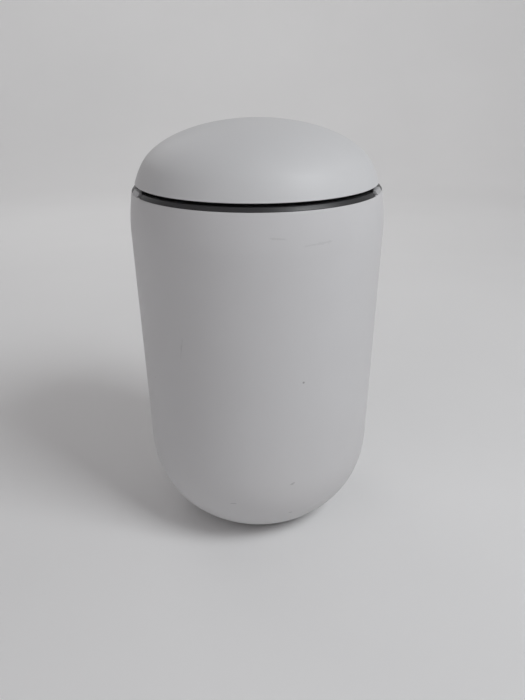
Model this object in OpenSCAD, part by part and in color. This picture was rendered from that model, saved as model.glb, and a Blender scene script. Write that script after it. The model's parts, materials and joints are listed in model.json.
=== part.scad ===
// Free-standing household trash compactor: a capsule-shaped bin that stands on a small flat foot.
// A motor in the hinged dome lid drives a telescopic ram, which presses the waste in a
// lift-out bucket. Origin: floor level under the centre. Front is towards -Y, up is +Z.

/* [Body] */
// Largest radius of the body
body_r = 164.4; // [163.4:0.2:165]
// Height of the body's top edge above the floor
rim_z = 470; // [466:1:476]
// Radius where the straight wall meets the rounded bottom
wall_foot_r = 158.2; // [157:0.2:160]
// Wall thickness of the body and the lid
wall = 3; // [2.5:0.1:3.2]
// Height of the straight wall, down from the top edge
wall_h = 347.2; // [340:1:352]
// Depth of the rounded bottom, if it ran down to its pole
bowl_depth = 143.2; // [141:0.2:146]
// Roundness of the bottom: 2 is an ellipse, more is squarer
bowl_power = 2.14; // [2.05:0.01:2.25]
// Height of the rubber feet, which lift the base plate
foot_h = 3; // [2.5:0.1:4]

/* [Lid] */
// Height of the dark band between the body's edge and the lid's edge
band_h = 8.7; // [8.5:0.1:9]
// Radius of the dome
dome_r = 150.7; // [150:0.1:152]
// Half height of the dome's ellipse
dome_h = 71; // [70:0.5:76]
// Height of the dome's widest ring above the lid's edge
dome_base = 4.2; // [3.5:0.1:6]
// How far the lid's skirt flares out past the dome
flare = 4.8; // [4:0.1:5.2]
// Height over which the flare dies out
flare_h = 22.3; // [18:0.5:28]

/* [Bucket] */
// Outer radius of the bucket under its flange
bucket_r = 137; // [135:0.5:137.5]
// How much the bucket narrows towards its bottom
bucket_taper = 8; // [6:0.5:9]
// Wall of the bucket
bucket_wall = 2.5; // [2:0.1:3]

/* [Ram] */
// Travel of the press plate
ram_travel = 144; // [120:6:144]
// Radius of the press plate
plate_r = 118; // [110:1:119]
// Radius of the ram's spindle
spindle_r = 6; // [5:0.5:6]
// Wall of each telescopic tube
tube_wall = 3.6; // [3:0.1:3.6]
// Radial gap between one tube and the next
tube_gap = 0.4; // [0.35:0.05:0.4]

/* [Gears] */
// Tooth module
gear_mod = 1.5; // [1.5:0.5:1.5]
// Teeth on the spindle gear
spindle_teeth = 32; // [32:4:32]
// Teeth on the idler
idler_teeth = 24; // [24:4:24]
// Teeth on the motor pinion
pinion_teeth = 14; // [14:2:14]

/* [Locks] */
// Angle of each lid lock, from the front
lock_angle = 70.6; // [66:0.2:74]
// Width of a lock slider along the rim
lock_w = 30; // [28:0.5:31]

/* [Hidden] */
$fn = 96;
cut = 0.5;                                    // how far a cutter runs past a face
far = 180;                                    // outside the body, for cutters from its axis
fit = 0.05;                                   // running fit, on the radius

stages = 3;                                   // moving tubes in the telescope

// heights
wall_foot_z = rim_z - wall_h;
lid_z = rim_z + band_h;                       // the lid's lower edge
ring_top = rim_z + 4.8;
ring_floor = rim_z - 10;
lip_top = rim_z - 5.7;
cover_z = lid_z - 0.5;                        // underside of the lid's inner cover
cover_h = 2.2;
frame_z = cover_z + cover_h;
frame_h = 2.5;
plate_z = rim_z + 54;                         // drive plate
plate_h = 3;
gear_z = plate_z + plate_h + 2.4;
gear_h = 6;
tube_top = plate_z - 6;
tube_overlap = 8.5;                           // left in each stage at full travel
tube_foot = tube_top - ram_travel / stages - tube_overlap;
platform_z = foot_h + 84.5;
platform_h = 3.3;
bucket_z = platform_z + platform_h + 0.2;

// rim
edge_round = 46;                              // height over which the top edge curves in
edge_in = 4.7;
edge_power = 1.7;
ring_r = body_r - edge_in - 0.3;
ring_slope_r = 156.2;                         // where the ring's slope meets its flat top
ring_skirt_r = ring_r - 3.1;                  // skirt that drops into the shell
skirt_wall = 2.9;
skirt_h = 12;
ring_bore = 142;
lip_r = 138.6;

// base
base_r = 88;
base_h = 3;
base_top = foot_h + base_h;
flange_r = 78;                                // bore in the shell's bottom, over the base plate
flange_gap = 0.3;
feet_ring = 62;
foot_r = 10;
base_screw_ring = 83;
base_screw_count = 6;
screw_hole_r = 2;
screw_head_h = 1.8;
platform_r = 150.5;
leg_ring = 70;
leg_r = 8;
rod_ring = 145;
rod_r = 3;
rod_thread = 7;                               // rod left below the platform for its nut
rod_seat = 6;                                 // depth of a rod's hole in the rim
nut_h = 5;
supply_h = 30;
board_lift = 14;
rod_angles = [35, 145, 215, 325];

// hinge
hinge_y = 154.5;
hinge_z = rim_z + 4.2;
knuckle_r = 4;
pin_r = 2;
knuckle_half = 10.5;                          // half width of the lid's knuckle
bracket_w = 12;
bracket_x = 25;                               // middle of each bracket
pin_half = 31;
hinge_pocket = 32;                            // half width of the pocket in the rim

// ram
tube_in = [for (i = [0:stages]) spindle_r + 1 + i * (tube_wall + tube_gap)];
press_z = rim_z - 22;
press_h = 4;
hub_r = 14;
hub_h = 8;
rib_h = 4;

// gears
idler_x = gear_mod * (spindle_teeth + idler_teeth) / 2;
motor_x = idler_x + gear_mod * (idler_teeth + pinion_teeth) / 2;
motor_r = 18;
shaft_r = 2.5;
idler_pin_r = 3;
pressure = 20;
columns = [[-28, 26], [-28, -26], [48, 30], [48, -30]];
column_r = 5;
bearing_r = 11;

// lid
cover_r = 150.5;
frame_r = 146;
lid_screw_ring = 138;
lid_screw_angles = [20, 60, 100, 140, 220, 260, 300, 340];
lid_hole_r = 1.9;
boss_r = 4.5;

// locks
lock_slot = 10;                               // empty slot in front of a slider
pocket_y = 148.5;
block_gap = 0.3;
lock_back = 149.4;                            // radius of a slider's inner face
lock_pin_y = 152.5;
lock_travel_half = 7;                         // half the slot that a lock pin runs in

// bucket
bucket_foot = bucket_r - bucket_taper;
bucket_rim = lip_top + 0.1;                   // underside of the bucket's flange
flange_out = 4;
flange_th = 2;
handle_ring = 139.4;
handle_z = lip_top + 4.6;                     // middle of the wire
handle_wire = 2.4;

// rear services, as angles from the front
inlet_angle = 202;
switch_angle = 158;
service_z = 135;
service_face = 159.8;                         // outer face of the inlet and the switch
service_half = 10.3;                          // half height of the inlet and the switch
inlet_half = 15;
switch_half = 11;
service_gap = 0.2;
fan_z = 122;
fan_y = 140;
fan_half = 20;
fan_bore = 18.5;
vent_half = 50;                               // half width of the filter opening
vent_low = 150;
vent_high = 220;
vent_gap = 0.3;
rocker_y = 154;
rocker_tilt = 8;

// Outer radius of the body at height z, less an inset
function body_radius(z, inset) =
    z > rim_z - edge_round
        ? body_r - inset - edge_in * pow((z - rim_z + edge_round) / edge_round, edge_power)
    : z > wall_foot_z
        ? wall_foot_r - inset
            + (body_r - wall_foot_r) * (z - wall_foot_z) / (wall_h - edge_round)
    : (wall_foot_r - inset)
        * pow(1 - pow((wall_foot_z - z) / (bowl_depth - inset), bowl_power), 1 / bowl_power);

// Heights that sample the body's outline from the top edge down to low_z
function body_heights(low_z) = concat(
    [for (i = [0:9]) rim_z - edge_round * i / 9],
    [for (i = [0:18]) wall_foot_z - (wall_foot_z - low_z) * sin(90 * i / 18)]);

function body_line(inset, low_z) =
    [for (z = body_heights(low_z)) [body_radius(z, inset), z]];

function flipped(list) = [for (i = [len(list) - 1:-1:0]) list[i]];

// The dome's outline from its lower edge to its top, less an inset
function dome_line(inset, steps = 32) =
    let (h = dome_h - inset, start = asin(-dome_base / h))
    [for (i = [0:steps])
        let (a = start + (90 - start) * i / steps, z = dome_base + h * sin(a),
            out = z < flare_h ? flare * pow(1 - z / flare_h, 2) : 0)
        [i == steps ? 0 : (dome_r - inset) * cos(a) + out, lid_z + z]];

// Angle from a tooth's middle to its flank at radius r
function involute(c) = tan(c) - c * PI / 180;
function flank(teeth, r) =
    let (base = gear_mod * teeth / 2 * cos(pressure),
        here = r > base ? acos(base / r) : 0)
    88 / teeth + (involute(pressure) - involute(here)) * 180 / PI;

function tooth_line(teeth, turn) =
    let (mid = gear_mod * teeth / 2,
        radii = [for (k = [0:4]) mid - 1.2 * gear_mod + k * 0.525 * gear_mod])
    concat(
        [for (r = radii) r * [cos(turn - flank(teeth, r)), sin(turn - flank(teeth, r))]],
        [for (r = flipped(radii)) r * [cos(turn + flank(teeth, r)), sin(turn + flank(teeth, r))]]);

// A spur gear with its first tooth's middle at angle phase
module gear(teeth, phase, bore) {
    linear_extrude(gear_h) difference() {
        polygon([for (i = [0:teeth - 1]) each tooth_line(teeth, phase + i * 360 / teeth)]);
        circle(r = bore);
    }
}

// Turns what is drawn towards -Y to an angle from the front
module at_angle(a) {
    rotate([0, 0, a]) children();
}

module tube(outer, inner, h) {
    difference() {
        cylinder(r = outer, h = h);
        translate([0, 0, -cut]) cylinder(r = inner, h = h + 2 * cut);
    }
}

// A box from its low corner to its high corner
module span(low, high) {
    translate(low) cube(high - low);
}

// Puts what is drawn on the Z axis at each base screw
module base_screw_places() {
    for (i = [0:base_screw_count - 1])
        rotate([0, 0, i * 360 / base_screw_count]) translate([base_screw_ring, 0, 0]) children();
}

// Puts what is drawn on the Z axis at each tie rod
module rod_places() {
    for (a = rod_angles) at_angle(a) translate([0, -rod_ring, 0]) children();
}

// Opening in the wall for the mains inlet or the switch
module service_cutter(half) {
    span([-half - service_gap, -far, service_z - service_half - service_gap],
        [half + service_gap, -140, service_z + service_half + service_gap]);
}

// ---- housing ----

module outer_shell() {
    color("gainsboro") difference() {
        rotate_extrude($fn = 180) polygon(concat(
            body_line(0, foot_h),
            [[base_r + flange_gap, foot_h], [base_r + flange_gap, base_top],
             [flange_r, base_top], [flange_r, base_top + base_h]],
            flipped(body_line(wall, base_top + base_h))));
        span([-vent_half, 100, vent_low], [vent_half, far, vent_high]);
        at_angle(inlet_angle) service_cutter(inlet_half);
        at_angle(switch_angle) service_cutter(switch_half);
        base_screw_places() translate([0, 0, foot_h])
            cylinder(r = screw_hole_r, h = 3 * base_h, $fn = 24);
    }
}

module ring_body() {
    rotate_extrude($fn = 180) polygon([
        [ring_r, rim_z], [ring_r, rim_z + 0.6], [ring_slope_r, ring_top], [ring_bore, ring_top],
        [ring_bore, lip_top], [lip_r, lip_top], [lip_r, ring_floor],
        [ring_skirt_r - skirt_wall, ring_floor], [ring_skirt_r - skirt_wall, ring_floor - skirt_h],
        [ring_skirt_r, ring_floor - skirt_h], [ring_skirt_r, rim_z]]);
}

// The slider's pocket, the deeper slot for the keeper, and the slot for the drive pin
module lock_pocket() {
    front = -lock_w / 2 - lock_slot - block_gap;
    span([front, -far, rim_z], [lock_w / 2 + block_gap, -pocket_y, ring_top + cut]);
    span([front, -155.5, rim_z - 3], [-lock_w / 2, -pocket_y, rim_z + cut]);
    translate([-3.5, -lock_pin_y, 0])
        span([-lock_travel_half, -2.5, ring_floor - cut], [lock_travel_half, 2.5, rim_z + cut]);
}

module rim_ring() {
    color("dimgray") difference() {
        ring_body();
        span([-hinge_pocket, hinge_y - 7.5, rim_z - 2.5], [hinge_pocket, far, ring_top + cut]);
        at_angle(lock_angle) lock_pocket();
        mirror([1, 0, 0]) at_angle(lock_angle) lock_pocket();
        rod_places() translate([0, 0, ring_floor - cut])
            cylinder(r = rod_r, h = rod_seat + cut, $fn = 32);
    }
}

module base_plate() {
    color("slategray") difference() {
        translate([0, 0, foot_h]) cylinder(r = base_r, h = base_h);
        base_screw_places() cylinder(r = screw_hole_r, h = base_top + cut, $fn = 24);
    }
}

module base_screws() {
    color("silver") base_screw_places() translate([0, 0, foot_h]) {
        translate([0, 0, -screw_head_h]) cylinder(r = 3.5, h = screw_head_h, $fn = 32);
        cylinder(r = screw_hole_r - 0.1, h = 2 * base_h, $fn = 24);
    }
}

module rubber_feet() {
    color("black") for (i = [0:3])
        rotate([0, 0, 45 + 90 * i]) translate([feet_ring, 0, 0])
            cylinder(r = foot_r, h = foot_h, $fn = 48);
}

module platform() {
    color("slategray") difference() {
        translate([0, 0, platform_z]) cylinder(r = platform_r, h = platform_h);
        rod_places() translate([0, 0, platform_z - cut])
            cylinder(r = rod_r, h = platform_h + 2 * cut, $fn = 32);
    }
}

module platform_legs() {
    color("slategray") for (a = [0, 120, 240])
        at_angle(a) translate([0, -leg_ring, base_top])
            cylinder(r = leg_r, h = platform_z - base_top, $fn = 48);
}

module tie_rods() {
    color("silver") rod_places() translate([0, 0, platform_z - rod_thread])
        cylinder(r = rod_r, h = ring_floor + rod_seat - platform_z + rod_thread, $fn = 32);
}

module tie_rod_nuts() {
    color("silver") rod_places() for (z = [platform_z - nut_h, ring_floor - nut_h])
        translate([0, 0, z]) difference() {
            cylinder(r = 5, h = nut_h, $fn = 6);
            translate([0, 0, -cut]) cylinder(r = rod_r, h = nut_h + 2 * cut, $fn = 32);
        }
}

module power_supply() {
    color("silver") span([-45, -35, base_top], [45, 18, base_top + supply_h]);
}

module board_standoffs() {
    color("goldenrod") for (x = [-30, 30], y = [33, 66])
        translate([x, y, base_top]) cylinder(r = 3, h = board_lift, $fn = 6);
}

module control_board() {
    board_h = 1.6;
    color("seagreen") translate([0, 0, base_top + board_lift]) {
        span([-36, 27, 0], [36, 73, board_h]);
        span([-8, 44, board_h], [8, 60, 4]);
        span([14, 34, board_h], [30, 46, 13]);
        translate([-22, 52, board_h]) cylinder(r = 6, h = 14, $fn = 32);
    }
}

// A two-pin appliance inlet with a figure-8 recess
module mains_inlet() {
    contact_x = 4.2;
    recess_r = 4.4;
    recess_y = 148;
    color("black") at_angle(inlet_angle) translate([0, 0, service_z]) {
        difference() {
            span([-inlet_half, -service_face, -service_half], [inlet_half, -138, service_half]);
            for (x = [-contact_x, contact_x])
                translate([x, -recess_y, 0]) rotate([90, 0, 0])
                    cylinder(r = recess_r, h = 20, $fn = 32);
            span([-contact_x, -recess_y - 20, -recess_r], [contact_x, -recess_y, recess_r]);
        }
        for (x = [-contact_x, contact_x])
            translate([x, cut - recess_y, 0]) rotate([90, 0, 0])
                cylinder(r = 1.2, h = 9, $fn = 24);
    }
}

module switch_bezel() {
    color("black") at_angle(switch_angle) translate([0, 0, service_z]) difference() {
        span([-switch_half, -service_face, -service_half], [switch_half, -144, service_half]);
        span([-8, -far, -8.2], [8, -149.5, 8.2]);
        translate([0, -rocker_y, 0]) rocker_pivot(fit);
    }
}

// The rocker's pivot, along X, which runs in holes in the bezel's side walls
module rocker_pivot(gap) {
    half = 9.5 + gap;
    translate([-half, 0, 0]) rotate([0, 90, 0]) cylinder(r = 1.2 + gap, h = 2 * half, $fn = 32);
}

module power_rocker() {
    width = 14.8;
    color("dimgray") at_angle(switch_angle) translate([0, -rocker_y, service_z])
        rotate([rocker_tilt, 0, 0]) {
            translate([-width / 2, 0, 0]) rotate([90, 0, 90]) linear_extrude(width)
                polygon([[3.2, -3], [-2, -6.4], [-6.6, -6.4], [-5.6, 0],
                    [-6.6, 6.4], [-2, 6.4], [3.2, 3]]);
            rocker_pivot(0);
        }
}

module fan_housing() {
    color("black") translate([0, fan_y, fan_z]) {
        difference() {
            span([-fan_half, -6, -fan_half], [fan_half, 6, fan_half]);
            translate([0, 7, 0]) rotate([90, 0, 0]) cylinder(r = fan_bore, h = 14);
        }
        for (a = [45, 135])
            rotate([0, a, 0]) span([-fan_bore - 0.1, 4.8, -1.5], [fan_bore + 0.1, 6, 1.5]);
        translate([0, 5, 0]) rotate([90, 0, 0]) cylinder(r = pin_r, h = 9, $fn = 32);
    }
}

module fan_impeller() {
    blades = 7;
    color("dimgray") translate([0, fan_y, fan_z]) difference() {
        union() {
            translate([0, 4.2, 0]) rotate([90, 0, 0]) cylinder(r = 8, h = 8.4);
            for (i = [0:blades - 1])
                rotate([0, i * 360 / blades, 0]) translate([7.2, 0, 0]) rotate([35, 0, 0])
                    span([0, -4.6, -0.7], [10.2, 4.6, 0.7]);
        }
        translate([0, 6, 0]) rotate([90, 0, 0]) cylinder(r = pin_r + fit, h = 12, $fn = 32);
    }
}

module filter_cassette() {
    color("darkslategray") span([-42, 134, 152], [42, 149, 216]);
}

module filter_cover() {
    slots = 6;
    slot_h = 3;
    slot_step = 8;
    slot_half = 36;
    slot_low = vent_low + 14;
    color("gainsboro") difference() {
        intersection() {
            rotate_extrude($fn = 180) polygon([
                [body_radius(vent_low, wall), vent_low], [body_radius(vent_low, 0), vent_low],
                [body_radius(vent_high, 0), vent_high], [body_radius(vent_high, wall), vent_high]]);
            span([vent_gap - vent_half, 100, vent_low + vent_gap],
                [vent_half - vent_gap, far, vent_high - vent_gap]);
        }
        for (i = [0:slots - 1])
            translate([0, 0, slot_low + i * slot_step])
                span([-slot_half, 100, 0], [slot_half, far, slot_h]);
    }
}

module wiring_harness() {
    wire = 2.2;
    low = 42;
    color("black") at_angle(150) {
        translate([0, -147, platform_z + platform_h])
            cylinder(r = wire, h = ring_floor - platform_z - platform_h - 4, $fn = 24);
        translate([0, -120, low]) cylinder(r = wire, h = platform_z - low, $fn = 24);
        translate([0, -120, low]) rotate([-90, 0, 0]) cylinder(r = wire, h = 98, $fn = 24);
    }
}

// ---- bucket ----

module bucket() {
    lug_r = handle_ring - 1.5;
    color("lightgray") {
        rotate_extrude($fn = 144) polygon([
            [0, bucket_z], [bucket_foot - 4, bucket_z], [bucket_foot, bucket_z + 4],
            [bucket_r, bucket_rim], [bucket_r + flange_out, bucket_rim],
            [bucket_r + flange_out, bucket_rim + flange_th],
            [bucket_r - bucket_wall, bucket_rim + flange_th],
            [bucket_foot - bucket_wall, bucket_z + 5], [bucket_foot - 5, bucket_z + 3],
            [0, bucket_z + 3]]);
        for (side = [0, 180]) rotate([0, 0, side]) {
            span([lug_r - 1.3, -3, bucket_rim + flange_th], [lug_r, 3, handle_z + 2.4]);
            translate([lug_r, 0, handle_z]) rotate([0, 90, 0])
                cylinder(r = 1.2, h = 3, $fn = 24);
        }
    }
}

module bucket_handle() {
    half = handle_wire / 2;
    color("silver") translate([0, 0, handle_z - half]) {
        rotate([0, 0, 185]) rotate_extrude(angle = 170, $fn = 144)
            translate([handle_ring - half, 0]) square(handle_wire);
        for (side = [-1, 1]) {
            span([side * handle_ring - half, -12.5, 0],
                [side * handle_ring + half, -2.2, handle_wire]);
            translate([side * handle_ring - half, 0, half]) rotate([0, 90, 0])
                tube(2.4, 1.4, handle_wire);
        }
    }
}

module bag_ring() {
    color("gray") translate([0, 0, bucket_rim + flange_th + 0.1]) tube(136.4, 133, 4);
}

// ---- hinge ----

module hinge_brackets() {
    color("dimgray") for (side = [-1, 1]) difference() {
        union() {
            translate([side * bracket_x - bracket_w / 2, hinge_y, hinge_z]) rotate([0, 90, 0])
                cylinder(r = knuckle_r, h = bracket_w);
            span([side * bracket_x - bracket_w / 2, hinge_y - 7, rim_z - 2.5],
                [side * bracket_x + bracket_w / 2, hinge_y - 1.5, hinge_z]);
        }
        translate([-2 * pin_half, hinge_y, hinge_z]) rotate([0, 90, 0])
            cylinder(r = pin_r, h = 4 * pin_half, $fn = 32);
    }
}

module hinge_pin() {
    color("silver") translate([-pin_half, hinge_y, hinge_z]) rotate([0, 90, 0])
        cylinder(r = pin_r, h = 2 * pin_half, $fn = 32);
}

module hinge_spring() {
    coils = 4;
    coil_step = 1.7;
    coil_r = 3;
    color("silver") for (side = [-1, 1], i = [0:coils - 1])
        translate([side * (12.4 + coil_step * i), hinge_y, hinge_z]) rotate([0, 90, 0])
            rotate_extrude($fn = 48) translate([coil_r, 0]) circle(r = 0.75, $fn = 16);
}

// ---- locks ----

module lock_slider() {
    color("silver") at_angle(lock_angle) {
        intersection() {
            rotate_extrude($fn = 180) polygon([
                [lock_back, rim_z + block_gap], [ring_r - 0.2, rim_z + block_gap],
                [ring_r - 0.2, rim_z + 0.7], [ring_slope_r, ring_top], [lock_back, ring_top]]);
            span([-lock_w / 2, -far, rim_z], [lock_w / 2, -140, ring_top + cut]);
        }
        translate([0, -lock_pin_y, ring_floor + 0.4])
            cylinder(r = 2, h = rim_z + 1 - ring_floor, $fn = 32);
    }
}

module lock_slider_right() {
    lock_slider();
}

module lock_slider_left() {
    mirror([1, 0, 0]) lock_slider();
}

module lock_solenoids() {
    color("dimgray") for (side = [0, 1]) mirror([side, 0, 0])
        at_angle(lock_angle) span([-20, -152, ring_floor - 21], [14, -140, ring_floor - 0.2]);
}

module lid_keepers() {
    low = -lock_w / 2 - lock_slot + 1;
    color("black") for (side = [0, 1]) mirror([side, 0, 0]) at_angle(lock_angle) {
        span([low, -154.2, rim_z - 2.4], [-lock_w / 2 - 1, -150, rim_z - 0.4]);
        span([low, -154, rim_z - 2.4], [low + 1.6, -150, cover_z]);
        span([low, -154, ring_top + 0.4], [low + 8, -147.2, cover_z]);
    }
}

module lid_sensor() {
    color("black") span([-8, -151, ring_floor - 9], [8, -142, ring_floor]);
}

module lid_magnet() {
    color("silver") span([-6, -146, frame_z + frame_h], [6, -138, frame_z + frame_h + 4]);
}

// ---- lid ----

// Puts what is drawn on the Z axis at each lid screw
module lid_screw_places() {
    for (a = lid_screw_angles) at_angle(a) translate([0, -lid_screw_ring, 0]) children();
}

module lid_shell() {
    boss_z = frame_z + frame_h;
    color("whitesmoke") difference() {
        union() {
            rotate_extrude($fn = 180)
                polygon(concat(dome_line(0), flipped(dome_line(wall))));
            intersection() {
                rotate_extrude($fn = 180) polygon(concat(dome_line(wall / 2), [[0, lid_z]]));
                lid_screw_places() translate([0, 0, boss_z])
                    cylinder(r = boss_r, h = dome_h, $fn = 32);
            }
        }
        lid_screw_places() translate([0, 0, boss_z - cut])
            cylinder(r = lid_hole_r, h = 12, $fn = 24);
    }
}

module lid_screws() {
    color("silver") lid_screw_places() translate([0, 0, cover_z]) {
        translate([0, 0, -screw_head_h]) cylinder(r = 3.6, h = screw_head_h, $fn = 32);
        cylinder(r = lid_hole_r - 0.1, h = 14, $fn = 24);
    }
}

// A round plate with a clear hole for the ram and holes for the lid screws
module lid_disc(r, h) {
    difference() {
        cylinder(r = r, h = h);
        translate([0, 0, -cut]) cylinder(r = tube_in[stages] + tube_wall + 0.2, h = 4);
        lid_screw_places() translate([0, 0, -cut]) cylinder(r = lid_hole_r, h = 4 + cut, $fn = 24);
    }
}

module lid_inner_cover() {
    color("gray") translate([0, 0, cover_z]) lid_disc(cover_r, cover_h);
}

module lid_frame() {
    color("slategray") translate([0, 0, frame_z]) lid_disc(frame_r, frame_h);
}

module lid_gasket() {
    color("black") difference() {
        translate([0, 0, ring_top + 0.1]) tube(146.5, 143.2, cover_z - ring_top - 0.1);
        span([-14, 120, rim_z], [14, 160, lid_z]);
    }
}

module lid_hinge_arm() {
    color("dimgray") difference() {
        union() {
            span([-knuckle_half, 108, cover_z - 2.4], [knuckle_half, hinge_y - 1, cover_z]);
            translate([-knuckle_half, hinge_y, hinge_z]) rotate([0, 90, 0])
                cylinder(r = knuckle_r, h = 2 * knuckle_half);
        }
        translate([-20, hinge_y, hinge_z]) rotate([0, 90, 0])
            cylinder(r = pin_r + fit, h = 40, $fn = 48);
    }
}

module lid_wiring() {
    color("black") translate([10, 130, frame_z + frame_h + 2.5]) rotate([90, 0, 28])
        cylinder(r = 2, h = 118, $fn = 24);
}

// ---- drive ----

module drive_columns() {
    color("silver") for (c = columns)
        translate([c[0], c[1], frame_z + frame_h])
            cylinder(r = column_r, h = plate_z - frame_z - frame_h, $fn = 6);
}

module drive_plate() {
    color("slategray") translate([0, 0, plate_z]) linear_extrude(plate_h) difference() {
        union() {
            translate([-38, -36]) square([98, 72]);
            translate([motor_x, 0]) circle(r = 30);
        }
        circle(r = bearing_r);
        translate([idler_x, 0]) circle(r = idler_pin_r);
        translate([motor_x, 0]) circle(r = 5);
    }
}

module drive_motor() {
    motor_z = frame_z + frame_h + 1;
    color("silver") translate([motor_x, 0, motor_z]) difference() {
        cylinder(r = motor_r, h = plate_z - motor_z);
        translate([0, 0, 24]) cylinder(r = shaft_r + fit, h = 30, $fn = 32);
    }
}

module spindle_bearing() {
    color("goldenrod") translate([0, 0, plate_z - 1]) tube(bearing_r, spindle_r + fit, 6);
}

module idler_pin() {
    color("silver") translate([idler_x, 0, plate_z]) {
        cylinder(r = idler_pin_r, h = 12, $fn = 48);
        translate([0, 0, gear_z - plate_z + gear_h + 0.3]) cylinder(r = 5, h = 1.2, $fn = 48);
    }
}

module fixed_tube() {
    bore = tube_in[stages];
    color("silver") {
        translate([0, 0, tube_foot + 0.5]) tube(bore + tube_wall, bore, plate_z - tube_foot - 0.5);
        translate([0, 0, plate_z - 4]) tube(32, bore, 4);
    }
}

module motor_pinion() {
    color("goldenrod") translate([motor_x, 0, 0]) {
        translate([0, 0, gear_z]) gear(pinion_teeth, 0, shaft_r);
        translate([0, 0, plate_z - 14])
            cylinder(r = shaft_r, h = gear_z + gear_h - plate_z + 14, $fn = 32);
    }
}

module idler_gear() {
    color("ivory") translate([idler_x, 0, gear_z])
        gear(idler_teeth, 180 / idler_teeth, idler_pin_r + fit);
}

module spindle_gear() {
    color("goldenrod") translate([0, 0, gear_z]) gear(spindle_teeth, 0, spindle_r);
}

module spindle() {
    pitch = 3;
    thread_top = tube_top - 2;
    thread_foot = tube_foot + 5;
    turns = floor((thread_top - thread_foot) / pitch);
    color("silver") rotate_extrude($fn = 48) polygon(concat(
        [[0, thread_foot]],
        [for (i = [0:turns - 1]) each [
            [spindle_r - 0.9, thread_foot + i * pitch],
            [spindle_r, thread_foot + (i + 0.35) * pitch],
            [spindle_r, thread_foot + (i + 0.65) * pitch]]],
        [[spindle_r - 0.9, thread_foot + turns * pitch], [spindle_r, thread_top + 1],
         [spindle_r, gear_z + gear_h], [0, gear_z + gear_h]]));
}

// One moving stage of the telescope; the innermost has index 0
module stage_tube(index, foot) {
    translate([0, 0, foot])
        tube(tube_in[index] + tube_wall, tube_in[index], tube_top - foot);
}

module stage_one_tube() {
    color("silver") stage_tube(2, tube_foot);
}

module stage_two_tube() {
    color("lightgray") stage_tube(1, tube_foot);
}

module ram_tube() {
    color("silver") stage_tube(0, press_z + press_h + hub_h);
}

module press_plate() {
    ribs = 8;
    color("silver") translate([0, 0, press_z]) {
        cylinder(r = plate_r, h = press_h, $fn = 144);
        translate([0, 0, press_h]) cylinder(r = hub_r, h = hub_h);
        translate([0, 0, press_h]) tube(plate_r - 2, plate_r - 5, rib_h);
        for (i = [0:ribs - 1])
            rotate([0, 0, (i + 0.5) * 360 / ribs])
                span([hub_r - 2, -1.5, press_h], [plate_r - 4, 1.5, press_h + rib_h]);
    }
}

module plate_wiper() {
    color("black") translate([0, 0, press_z - 1]) difference() {
        cylinder(r = plate_r + 3.5, h = 3, $fn = 144);
        translate([0, 0, -cut]) cylinder(r = plate_r - 2.5, h = 1 + cut, $fn = 144);
        translate([0, 0, 1]) cylinder(r = plate_r, h = 3, $fn = 144);
    }
}

outer_shell();
rim_ring();
base_plate();
base_screws();
rubber_feet();
platform();
platform_legs();
tie_rods();
tie_rod_nuts();
power_supply();
control_board();
board_standoffs();
mains_inlet();
switch_bezel();
power_rocker();
fan_housing();
fan_impeller();
filter_cassette();
filter_cover();
wiring_harness();
bucket();
bucket_handle();
bag_ring();
hinge_brackets();
hinge_pin();
hinge_spring();
lock_solenoids();
lid_sensor();
lock_slider_right();
lock_slider_left();
lid_shell();
lid_inner_cover();
lid_frame();
lid_gasket();
lid_hinge_arm();
lid_screws();
lid_keepers();
lid_magnet();
lid_wiring();
drive_columns();
drive_plate();
drive_motor();
spindle_bearing();
idler_pin();
fixed_tube();
motor_pinion();
idler_gear();
spindle_gear();
spindle();
stage_one_tube();
stage_two_tube();
ram_tube();
press_plate();
plate_wiper();
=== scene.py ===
"""Looks of a capsule-shaped household trash compactor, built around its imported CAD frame."""

import json
import math

import bmesh
import bpy
from mathutils import Matrix, Vector


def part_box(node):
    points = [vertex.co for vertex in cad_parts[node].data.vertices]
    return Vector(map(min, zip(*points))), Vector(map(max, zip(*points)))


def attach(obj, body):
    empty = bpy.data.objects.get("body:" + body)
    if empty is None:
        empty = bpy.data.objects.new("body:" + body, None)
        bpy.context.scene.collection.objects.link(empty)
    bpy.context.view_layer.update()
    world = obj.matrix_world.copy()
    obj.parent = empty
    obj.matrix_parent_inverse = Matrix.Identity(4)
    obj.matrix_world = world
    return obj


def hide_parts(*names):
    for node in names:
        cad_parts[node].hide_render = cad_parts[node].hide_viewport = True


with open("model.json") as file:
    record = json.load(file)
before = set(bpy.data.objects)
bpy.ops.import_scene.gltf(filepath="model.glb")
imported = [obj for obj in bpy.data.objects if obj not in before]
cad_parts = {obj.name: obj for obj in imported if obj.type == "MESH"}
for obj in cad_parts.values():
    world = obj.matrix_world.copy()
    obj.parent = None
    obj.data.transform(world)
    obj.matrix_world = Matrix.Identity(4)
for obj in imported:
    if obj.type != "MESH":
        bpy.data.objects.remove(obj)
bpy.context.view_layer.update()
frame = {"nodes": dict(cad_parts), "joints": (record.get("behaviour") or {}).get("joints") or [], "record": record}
MM = 0.001

# ---- dimensions ----
SHELL_LOW, SHELL_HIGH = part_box("outer_shell")
LID_LOW, LID_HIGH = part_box("lid_shell")
BODY_R = SHELL_HIGH.x
RIM_Z = SHELL_HIGH.z
FOOT_Z = SHELL_LOW.z
LID_Z = LID_LOW.z
WALL = 3 * MM
HAIR = 0.05 * MM                     # radius left open at a lathe's pole

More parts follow.
